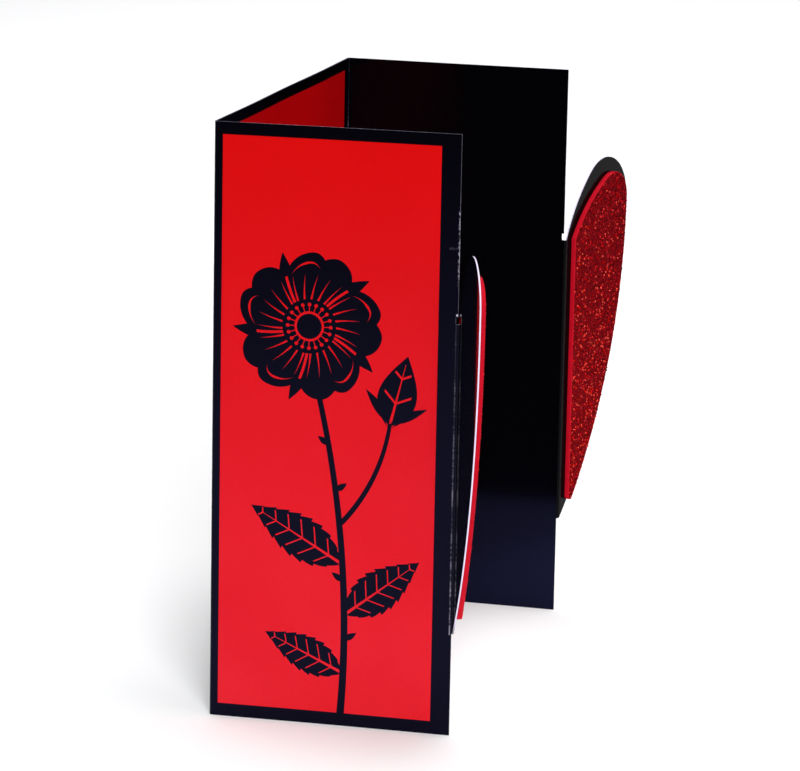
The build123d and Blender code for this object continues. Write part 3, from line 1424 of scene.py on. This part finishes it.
@dataclass(frozen=True)
class FoldWear:
    """Places along the folds and free edges where the film is cracked and white paper shows.

    Sizes are in millimetres, and shares are of bare paper.
    """

    sheet: CardSheet
    softness: float = 0.3
    fine_size: float = 0.9  # of the finer of two random patterns
    slow_size: float = 9.0
    crack_half_width: float = 0.1
    crack_fineness: float = 1.5  # weight of the finer pattern in the cracks
    crack_level: float = 1.30  # of the two patterns together, up to which the film holds
    crack_contrast: float = 4.0
    crack_share: float = 0.16
    crease_inset: float = 0.6  # from the free edge back to the line that a tab's crease wears along
    crease_half_width: float = 0.2
    crease_level: float = 0.92
    crease_contrast: float = 3.0
    crease_share: float = 0.02  # all along the crease
    broken_share: Span = (0.08, 0.46)  # more where it is broken, at the cleft and at the tab's point
    tear: Point = (-0.3, 0.6)  # from the free edge at the top of its notch
    tear_radius: float = 0.05
    tear_fray: float = 0.6

    @property
    def edge(self) -> float:
        """Distance of the flaps' free edges from the middle of the sheet."""
        return self.sheet.flap_end(self.sheet.front) / MM

    @property
    def tip(self) -> float:
        """Height of the tabs' points."""
        return self.sheet.heart.tip.y / MM

    @property
    def cleft(self) -> float:
        """Height of the tabs' clefts."""
        return self.sheet.heart.cleft.y / MM

    @property
    def patches(self) -> list[WornPatch]:
        """Frayed board at the tabs' points, a thumbed streak, and specks along the front flap's edge."""
        return [
            WornPatch(
                low=(-0.75, self.tip - 0.5),
                high=(-0.45, self.tip + 3.0),
                share=0.6,
                level=-0.1,
                contrast=1.0,
                front_only=False,
            ),
            WornPatch(low=(-3.4, 170.5), high=(-0.4, 171.3), share=0.07, level=0.4, contrast=3.0),
            WornPatch(low=(-0.35, 158.0), high=(0.3, 186.0), share=0.5, level=0.46, contrast=5.0),
        ]

    def cracks(self, pen: Pen, fine: Value, slow: Value) -> Value:
        """Cover of the cracks along the folds between the panels.

        Args:
            pen: Pen that draws from the middle of the sheet.
            fine: Fine random pattern.
            slow: Random pattern of larger patches.

        Returns:
            The bare paper's cover.
        """
        wing = self.sheet.front
        fold = (self.sheet.bend_start(wing) + self.sheet.bend_end(wing)) / 2.0 / MM
        broken = (fine * self.crack_fineness + slow).risen(self.crack_level, self.crack_contrast)
        return pen.cover(abs(pen.across - fold) - self.crack_half_width) * broken * self.crack_share

    def creases(self, pen: Pen, fine: Value, slow: Value) -> Value:
        """Cover of the worn lines along the tabs' creases, which are stronger lower down.

        Args:
            pen: Pen that draws from the middle of the sheet.
            fine: Fine random pattern.
            slow: Random pattern of larger patches.

        Returns:
            The bare paper's cover.
        """
        line = pen.cover(abs(pen.across - self.edge + self.crease_inset) - self.crease_half_width)
        low_down = ((self.cleft - pen.up) / (self.cleft - self.tip)).clamped()
        broken = (fine + slow).risen(self.crease_level, self.crease_contrast)
        share = self.crease_share + low_down.within(self.broken_share) * broken
        return line * pen.between(pen.up, self.tip, self.cleft) * share

    def draw(self, tree: Tree, face: Face) -> Value:
        """Cover of all the bare paper.

        Args:
            tree: Tree of the material.
            face: Face of the sheet that it is for.

        Returns:
            The bare paper's cover.
        """
        flat = tree.flat_place()
        across, up = (part / MM for part in tree.split(flat)[:2])
        pen = Pen(tree, abs(across), up, self.softness)
        fine = tree.noise(flat, self.fine_size * MM, 3.0)
        slow = tree.noise(flat, self.slow_size * MM, 1.0)
        worn = self.cracks(pen, fine, slow)
        if face is Face.INNER:
            return worn
        notch_top = self.cleft + self.sheet.notch_height / MM
        to_tear = pen.from_point((self.edge + self.tear[0], notch_top + self.tear[1]))[2]
        torn = pen.cover(to_tear - self.tear_radius - fine * self.tear_fray)
        worn = worn.most(self.creases(pen, fine, slow)).most(torn)
        on_front = 1.0 - across.over(0.0)
        for patch in self.patches:
            rubbed = patch.draw(pen, self.edge, fine)
            worn = worn.most(rubbed * on_front if patch.front_only else rubbed)
        return worn


@dataclass(frozen=True)
class GlossFilm:
    """Clear film over a print, with the faint ripple of laminated board."""

    gloss: float  # roughness where it is clean
    shine: float
    shine_tint: Colour = (1.0, 1.0, 1.0)
    ripple_size: float = 2.4 * MM
    ripple_depth: float = 0.004 * MM

    def surface(self, tree: Tree) -> Inputs:
        """The film's ripple and shine.

        Args:
            tree: Tree of the material.

        Returns:
            What the shader's inputs take.
        """
        ripple = tree.noise(tree.flat_place(), self.ripple_size, 1.0)
        return {
            "Normal": tree.bump(ripple, self.ripple_depth),
            "Specular IOR Level": self.shine,
            "Specular Tint": (*self.shine_tint, 1.0),
        }


@dataclass(frozen=True)
class LaminatedPrint(Finish):
    """Print under a gloss film on one face of the sheet, with the wear along its folds."""

    face: Face
    sheet: CardSheet
    film: GlossFilm
    red: Colour
    foot_sheen_red: Colour  # red at the foot of the card, lighter and pinker as a painted sheen of reflected light
    black: Colour = BLACK_INK
    # The bare paper is white, tinted lavender-grey here as painted shade.
    paper: Colour = (0.72, 0.68, 0.84)
    cover_field: RedField = RedField(fold_border=2.9, free_border=6.8, top_border=4.3, foot_border=4.6)
    inside_field: RedField = RedField(fold_border=6.0, free_border=6.0, top_border=4.1, foot_border=4.7)
    motif: FlowerPrint = FlowerPrint()
    grain_size: float = 1.1 * MM
    cloud_size: float = 38.0 * MM
    sheen_power: float = 1.5  # power of the distance from the top by which the painted sheen grows towards the foot
    deep_share: float = 0.90  # of the red where the ink is darkest
    grain_weight: float = 0.4  # of grain and cloud in the mottle of the ink
    cloud_weight: float = 0.8
    mottle_level: float = 0.1
    grain_dulling: float = 0.04  # how much of the film's roughness follows grain and cloud
    cloud_dulling: float = 0.06
    worn_roughness: float = 0.5

    def printed(self, tree: Tree, across: Value, up: Value) -> Value:
        """Cover of the red ink.

        Args:
            tree: Tree of the material.
            across: Place along the flat sheet, in millimetres from its middle.
            up: Height, in millimetres.

        Returns:
            The cover of the red ink on this face.
        """
        sheet = self.sheet
        height = sheet.card_height / MM
        if self.face is Face.INNER:
            width = sheet.middle_width / MM
            return self.inside_field.draw(Pen(tree, across + width / 2.0, up), width, height)
        width = sheet.flap_width / MM
        front = Pen(tree, -1.0 * across - sheet.flap_line(sheet.front) / MM, up)
        back = Pen(tree, across - sheet.flap_line(sheet.back) / MM, up)
        front_red = self.cover_field.draw(front, width, height) * (1.0 - self.motif.draw(front))
        return front_red.most(self.cover_field.draw(back, width, height))

    def surface(self, tree: Tree) -> Inputs:
        """Ink with a painted sheen towards the foot, film and wear.

        Args:
            tree: Tree of the material.

        Returns:
            What the shader's inputs take.
        """
        flat = tree.flat_place()
        across, up = tree.split(flat)[:2]
        grain = tree.noise(flat, self.grain_size)
        cloud = tree.noise(flat, self.cloud_size)
        # The red grows lighter and pinker towards the foot: a painted sheen of reflected light, not a change
        # in the ink.
        down = (1.0 - up / self.sheet.card_height).clamped()
        full = tree.mix(down**self.sheen_power, self.red, self.foot_sheen_red)
        deep = tuple(self.deep_share * channel for channel in self.red)
        mottle = grain * self.grain_weight + cloud * self.cloud_weight
        ink = tree.mix(mottle.risen(self.mottle_level, 1.0), deep, full)
        printed = tree.mix(self.printed(tree, across / MM, up / MM), self.black, ink)
        worn = FoldWear(self.sheet).draw(tree, self.face)
        handled = self.cloud_dulling * (cloud - 0.5) + self.grain_dulling * (grain - 0.5)
        return {
            "Base Color": tree.mix(worn, printed, self.paper),
            "Roughness": self.film.gloss + handled + self.worn_roughness * worn,
            **self.film.surface(tree),
        }


@dataclass(frozen=True)
class PlainFilm(Finish):
    """Gloss film over solid black, on one face of the tabs."""

    film: GlossFilm
    black: Colour = BLACK_INK
    thin_black: Colour = (0.0016, 0.0014, 0.0020)
    grain_size: float = 1.1 * MM
    evenness: Span = (0.8, 1.2)  # roughness over the tabs, as shares of the film's own

    def surface(self, tree: Tree) -> Inputs:
        """Ink and film.

        Args:
            tree: Tree of the material.

        Returns:
            What the shader's inputs take.
        """
        grain = tree.noise(tree.flat_place(), self.grain_size)
        return {
            "Base Color": tree.mix(grain, self.black, self.thin_black),
            "Roughness": self.film.gloss * grain.within(self.evenness),
            **self.film.surface(tree),
        }


@dataclass(frozen=True)
class PaperCore(Finish):
    """White core of the board where it is cut, lighter on the tabs and darkened on the panels and low down.
    """

    sheet: CardSheet
    # The core is white paper, tinted lavender-grey here as painted shade.
    paper: Colour = (0.74, 0.68, 0.86)
    darkened_core: Colour = (0.09, 0.09, 0.13)
    fibre_size: float = 0.35 * MM
    fibre_depth: float = 0.03 * MM
    fibre_darkening: float = 0.2
    panel_darkening: float = 0.95
    foot_darkening: float = 0.9  # on every cut below the tabs' points
    foot_fade: float = 7.0 * MM  # height above the points over which that fades
    bead_size: float = 1.4 * MM  # of the lighter specks on the panels' edges
    bead_contrast: float = 6.0
    bead_level: float = -2.9
    bead_gain: float = 0.9  # what rubbing adds to the level
    bead_clearing: Span = (0.25, 0.95)  # how much less darkening a speck has, unrubbed and rubbed
    rub_height: float = 171.0 * MM  # where the panels' edges are rubbed lightest
    rub_reach: float = 14.0 * MM
    roughness: Span = (0.75, 0.95)
    past_edge: float = 0.05 * MM  # how far past a flap's free edge the panels' edges still count

    def surface(self, tree: Tree) -> Inputs:
        """Fibres and darkening of the cut.

        Args:
            tree: Tree of the material.

        Returns:
            What the shader's inputs take.
        """
        place = tree.solid_place()
        across, up = tree.split(tree.flat_place())[:2]
        fibres = tree.noise(place, self.fibre_size, 3.0)
        rubbed = (1.0 - abs(up - self.rub_height) / self.rub_reach).clamped()
        specks = tree.noise(place, self.bead_size) * self.bead_contrast + self.bead_level
        beads = (specks + self.bead_gain * rubbed).clamped()
        on_panel = 1.0 - abs(across).over(self.sheet.flap_end(self.sheet.front) + self.past_edge)
        # The cut is darkened towards near-black on the panels and on every cut low down.
        low_down = (1.0 - (up - self.sheet.heart.tip.y) / self.foot_fade).clamped()
        panel_darkening = self.panel_darkening - rubbed.within(self.bead_clearing) * beads
        darkening = fibres * self.fibre_darkening + on_panel * panel_darkening
        return {
            "Base Color": tree.mix(darkening.most(self.foot_darkening * low_down), self.paper, self.darkened_core),
            "Roughness": fibres.within(self.roughness),
            "Normal": tree.bump(fibres, self.fibre_depth),
        }


@dataclass(frozen=True)
class CraftFoam(Finish):
    """Closed-cell craft foam, as cut."""

    red: Colour = (0.54, 0.0040, 0.017)
    # Darker red for the hollows of the cells: painted shade.
    shaded_pore: Colour = (0.32, 0.002, 0.009)
    cell_size: float = 0.22 * MM
    cell_depth: float = 0.05 * MM
    cloud_size: float = 4.0 * MM
    pore_level: float = 0.5  # of pores and cloud together, up to which the foam is clear red
    pore_contrast: float = 0.5
    roughness: Span = (0.62, 0.82)
    shine: float = 0.15
    shine_tint: Colour = (1.0, 0.35, 0.4)

    def surface(self, tree: Tree) -> Inputs:
        """The foam's cells.

        Args:
            tree: Tree of the material.

        Returns:
            What the shader's inputs take.
        """
        place = tree.solid_place()
        inputs = {"Vector": place, "Scale": 1.0 / self.cell_size}
        cells = tree.value("ShaderNodeTexVoronoi", "Distance", inputs=inputs)
        cloud = tree.noise(place, self.cloud_size)
        # The cells' hollows, where the bump is lowest, take the darker red as painted shade; the cloud varies
        # it at random.
        share = (1.0 - cells + cloud).risen(self.pore_level, self.pore_contrast)
        return {
            "Base Color": tree.mix(share, self.red, self.shaded_pore),
            "Roughness": cloud.within(self.roughness),
            "Normal": tree.bump(cells, self.cell_depth),
            "Specular IOR Level": self.shine,
            "Specular Tint": (*self.shine_tint, 1.0),
        }


@dataclass(frozen=True)
class GlitterBed(Finish):
    """Tinted lacquer that the flakes are set in."""

    dark: Colour = (0.07, 0.0020, 0.0040)
    red: Colour = (0.26, 0.0060, 0.0100)
    grain_size: float = 0.5 * MM
    grain_depth: float = 0.08 * MM
    grain_level: float = 0.1875  # of the grain, up to which the lacquer is dark
    grain_contrast: float = 1.6
    roughness: Span = (0.30, 0.55)

    def surface(self, tree: Tree) -> Inputs:
        """The uneven lacquer, which has no shine of its own between the flakes.

        Args:
            tree: Tree of the material.

        Returns:
            What the shader's inputs take.
        """
        grain = tree.noise(tree.solid_place(), self.grain_size, 3.0)
        return {
            "Base Color": tree.mix(grain.risen(self.grain_level, self.grain_contrast), self.dark, self.red),
            "Roughness": grain.within(self.roughness),
            "Normal": tree.bump(grain, self.grain_depth),
            "Specular IOR Level": 0.0,
        }


@dataclass(frozen=True)
class GlitterFlake(Finish):
    """Metallised film flakes, from dark red to orange red, brighter towards the heart's point."""

    stops: tuple[tuple[float, Colour], ...] = (
        (0.0, (0.115, 0.0050, 0.0090)),
        (0.45, (0.305, 0.0110, 0.0180)),
        (0.85, (0.570, 0.0250, 0.0300)),
        (1.0, (0.870, 0.0800, 0.0520)),
    )
    edge_tint: Colour = (1.0, 0.04, 0.04)
    dull_height: float = 150.0 * MM  # above which the flakes are no brighter
    bright_drop: float = 80.0 * MM  # from there down to where they are brightest
    bright_gain: float = 0.2  # of the tone
    roughness: Span = (0.42, 0.20)  # of a dark and of a bright flake

    def surface(self, tree: Tree) -> Inputs:
        """Each flake's own tone.

        Args:
            tree: Tree of the material.

        Returns:
            What the shader's inputs take.
        """
        height = tree.split(tree.solid_place())[2]
        low_down = ((self.dull_height - height) / self.bright_drop).clamped()
        tone = tree.value("ShaderNodeAttribute", "Fac", {"attribute_name": TONE})
        inputs = {"Fac": tone + self.bright_gain * low_down}
        return {
            "Base Color": tree.node("ShaderNodeValToRGB", {"stops": self.stops}, inputs).outputs["Color"],
            "Roughness": tone.within(self.roughness),
            "Metallic": 1.0,
            "Specular Tint": (*self.edge_tint, 1.0),
        }


@dataclass(frozen=True)
class StudioFloor(Finish):
    """Matt pale paper under the card."""

    pale: Colour = (0.93, 0.93, 0.94)
    shade: Colour = (0.90, 0.90, 0.91)
    mottle_size: float = 0.6
    roughness: float = 0.9
    shine: float = 0.1

    def surface(self, tree: Tree) -> Inputs:
        """The paper's faint mottle.

        Args:
            tree: Tree of the material.

        Returns:
            What the shader's inputs take.
        """
        mottle = tree.noise(tree.solid_place(), self.mottle_size, 1.0)
        return {
            "Base Color": tree.mix(mottle, self.pale, self.shade),
            "Roughness": self.roughness,
            "Specular IOR Level": self.shine,
        }


@dataclass(frozen=True)
class SoftBox:
    """A square soft light with a grid, aimed at a point."""

    name: str
    place: tuple[float, float, float]
    aim: tuple[float, float, float]
    size: float
    power: float
    spread: float  # degrees that its grid lets through

    def hang(self) -> None:
        """Puts the light into the scene."""
        lamp = bpy.data.lights.new(self.name, "AREA")
        lamp.size = self.size
        lamp.energy = self.power
        lamp.spread = math.radians(self.spread)
        made = bpy.data.objects.new(self.name, lamp)
        made.location = self.place
        made.rotation_mode = "QUATERNION"
        made.rotation_quaternion = (Vector(self.aim) - Vector(self.place)).to_track_quat("-Z", "Y")
        bpy.context.scene.collection.objects.link(made)


@dataclass(frozen=True)
class Viewpoint:
    """Where the camera stands and which way it looks, in degrees."""

    place: tuple[float, float, float] = (0.39138, -1.37692, 0.41203)
    azimuth: float = 14.136
    elevation: float = 12.267
    roll: float = 1.103
    lens: float = 180.0
    sensor: float = 36.0
    far: float = 100.0  # distance up to which things are drawn

    def set_up(self) -> None:
        """Puts the camera into the scene."""
        lens = bpy.data.cameras.new("camera")
        lens.lens = self.lens
        lens.sensor_width = self.sensor
        lens.clip_end = self.far
        around, above, tilt = (math.radians(a) for a in (self.azimuth, self.elevation, self.roll))
        back = Vector((math.sin(around), -math.cos(around), math.tan(above))).normalized()
        right = Vector((math.cos(around), math.sin(around), 0.0))
        upward = back.cross(right)
        rolled_right = math.cos(tilt) * right + math.sin(tilt) * upward
        rolled_up = math.cos(tilt) * upward - math.sin(tilt) * right
        turn = Matrix((rolled_right, rolled_up, back)).transposed()
        camera = bpy.data.objects.new("camera", lens)
        camera.matrix_world = Matrix.Translation(self.place) @ turn.to_4x4()
        bpy.context.scene.collection.objects.link(camera)
        bpy.context.scene.camera = camera


@dataclass
class Studio:
    """Floor, light and camera."""

    floor_half_size: float = 8.0
    sky_strength: float = 0.06
    sky: Colour = (0.97, 0.98, 1.0)
    view: Viewpoint = Viewpoint()
    lights: tuple[SoftBox, ...] = (
        SoftBox("key", (0.83, -1.93, 1.07), (0.02, 0.0, -0.04), size=0.8, power=3.3, spread=40.0),
        SoftBox("overhead", (0.15, 1.3, 2.6), (0.15, 1.3, 0.0), size=3.4, power=42.0, spread=70.0),
    )

    def build(self) -> bpy.types.Object:
        """Makes the floor, the light and the camera.

        Returns:
            The floor.
        """
        half = self.floor_half_size
        mesh = bpy.data.meshes.new("floor")
        corners = [(-half, -half, 0.0), (half, -half, 0.0), (half, half, 0.0), (-half, half, 0.0)]
        mesh.from_pydata(corners, [], [(0, 1, 2, 3)])
        mesh.materials.append(StudioFloor("pale_floor").material())
        floor = new_object("floor", mesh)
        world = bpy.data.worlds.new("studio")
        world.use_nodes = True
        sky = world.node_tree.nodes["Background"]
        sky.inputs["Color"].default_value = (*self.sky, 1.0)
        sky.inputs["Strength"].default_value = self.sky_strength
        bpy.context.scene.world = world
        bpy.context.scene.view_settings.view_transform = "Standard"
        for light in self.lights:
            light.hang()
        self.view.set_up()
        return floor


def put_in_frame(piece: bpy.types.Object, slot: str, *nodes: str) -> None:
    """Lets a piece ride on the card and stand for solids.

    Args:
        piece: The finished piece.
        slot: Name of the record's material slot for the piece, which is only logged.
        nodes: Solids that it stands for.
    """
    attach(piece, BODY)
    if nodes:
        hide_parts(*nodes)
    LOG.info("%s: %d faces, slot %s", piece.name, len(piece.data.polygons), slot)


def card_finishes(sheet: CardSheet) -> dict[Face, bpy.types.Material]:
    """Makes the materials of the card's faces and cut edges.

    Args:
        sheet: The card's sheet.

    Returns:
        The material for each kind of face.
    """
    cover_film = GlossFilm(gloss=0.10, shine=0.18, shine_tint=(0.36, 0.36, 1.0))
    inside_film = GlossFilm(gloss=0.10, shine=0.32, shine_tint=(0.30, 0.34, 1.0))
    # The cover's second red is its red made lighter and pinker at the foot, as a painted sheen of reflected
    # light.
    cover_red, cover_foot_sheen_red = (0.616, 0.0033, 0.0025), (0.655, 0.0175, 0.0235)
    # The inside's red is a darker copy of the cover's red: painted shade for the inside of the U.
    inside_shaded_red = (0.535, 0.0015, 0.0030)
    cover = LaminatedPrint("cover_print", Face.OUTER, sheet, cover_film, cover_red, cover_foot_sheen_red)
    inside = LaminatedPrint("inside_print", Face.INNER, sheet, inside_film, inside_shaded_red, inside_shaded_red)
    tab_outer = PlainFilm("tab_outer_film", replace(cover_film, gloss=0.04))
    tab_inner = PlainFilm("tab_inner_film", GlossFilm(gloss=0.15, shine=0.05))
    core = PaperCore("paper_core", sheet).material()
    return {
        Face.OUTER: cover.material(),
        Face.INNER: inside.material(),
        Face.CUT_EDGE: core,
        Face.TAB_OUTER: tab_outer.material(),
        Face.TAB_INNER: tab_inner.material(),
        Face.TAB_EDGE: core,
    }


def main() -> None:
    """Builds the card and the studio round it."""
    logging.basicConfig(level=logging.INFO, format="%(name)s: %(message)s")
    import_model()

    sheet = CardSheet()
    put_in_frame(sheet.build(card_finishes(sheet)), "board", "folded_card")

    foam = CraftFoam("craft_foam").material()
    bed = GlitterBed("glitter_bed").material()
    flake = GlitterFlake("glitter_flake").material()
    for wing in (sheet.front, sheet.back):
        heart = FoamHeart(wing, sheet)
        put_in_frame(heart.body(foam, bed), "glitter_foam", heart.name + "_half_heart")
        put_in_frame(heart.glitter(flake), "glitter_foam")

    Studio().build()


if __name__ == "__main__":
    main()
